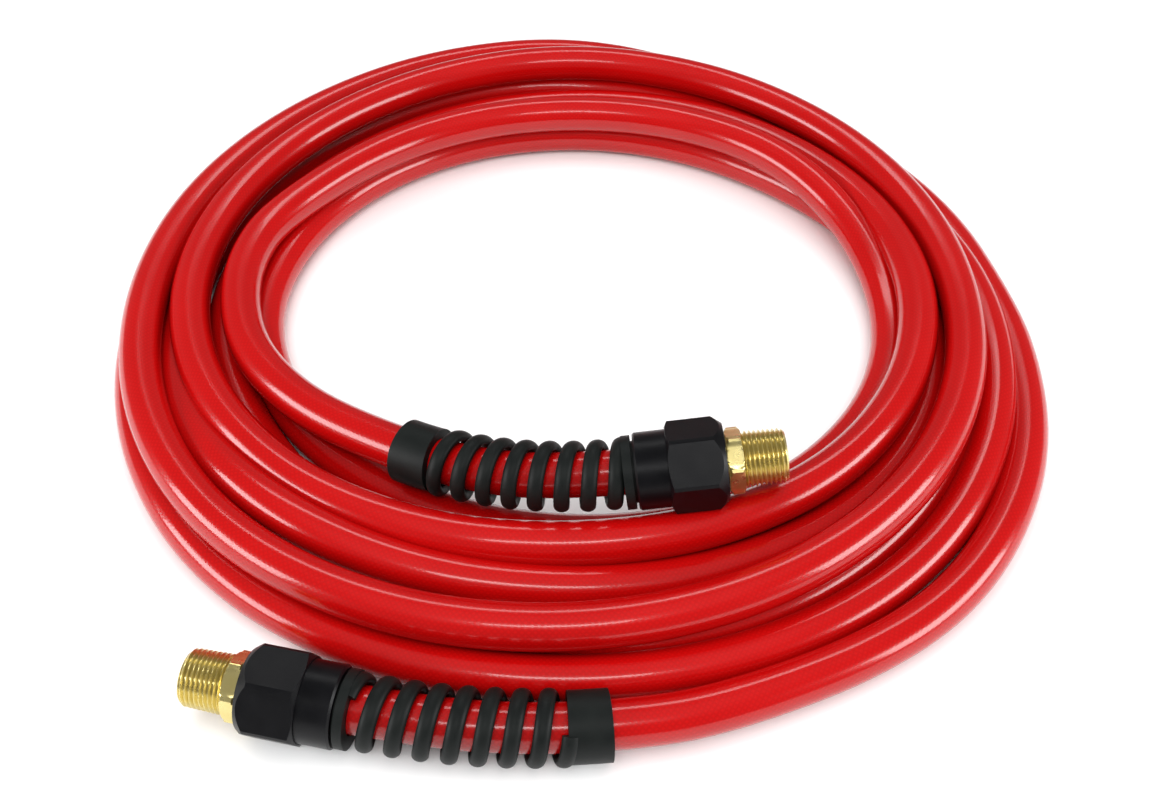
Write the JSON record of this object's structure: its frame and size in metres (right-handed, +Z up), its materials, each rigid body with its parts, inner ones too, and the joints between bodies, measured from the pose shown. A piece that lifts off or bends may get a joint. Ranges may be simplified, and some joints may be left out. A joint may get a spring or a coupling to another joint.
{
  "type": "coiled air hose assembly",
  "caption": "Coiled braided polyurethane air hose with a swivelling male pipe fitting, black clamp nut and spiral bend restrictor at each end.",
  "frame": {"origin": "under the middle of the coil's bounding box, on the surface that it lies on", "axes": "+Z up, -Y towards the side where both fittings lie, +X to the right of somebody who looks from there"},
  "size_m": [0.3304, 0.3574, 0.0507],
  "materials": {
    "hose_red": "glossy, slightly translucent, with fine braid under the surface",
    "guard_black": "satin",
    "nut_black": "satin black anodised",
    "brass": "machined",
    "spring_steel": "satin",
    "nitrile": "matte",
    "acetal": "satin"
  },
  "bodies": {
    "root": {"swivel_retaining_ring_a": "spring_steel", "swivel_thrust_washer_a": "acetal", "hose_stem_a": "brass", "compression_ferrule_a": "brass", "clamp_nut_a": "nut_black", "bend_restrictor_a": "guard_black", "hose_end_a": "hose_red", "hose_tail_a": "hose_red", "swivel_retaining_ring_b": "spring_steel", "swivel_thrust_washer_b": "acetal", "hose_stem_b": "brass", "compression_ferrule_b": "brass", "clamp_nut_b": "nut_black", "bend_restrictor_b": "guard_black", "hose_end_b": "hose_red", "hose_tail_b": "hose_red", "hose_coil": "hose_red"},
    "swivel_a": {"male_connector_a": "brass", "swivel_oring_a": "nitrile"},
    "swivel_b": {"male_connector_b": "brass", "swivel_oring_b": "nitrile"}
  },
  "joints": [
    {"name": "connector_a_turn", "type": "hinge", "parent": "root", "child": "swivel_a", "pos_m": [0.04168, -0.09143, 0.03668], "axis": [-0.9916, -0.0433, -0.1219], "continuous": true},
    {"name": "connector_b_turn", "type": "hinge", "parent": "root", "child": "swivel_b", "pos_m": [-0.09066, -0.1572, 0.01359], "axis": [0.9785, -0.2044, -0.0284], "continuous": true}
  ]
}
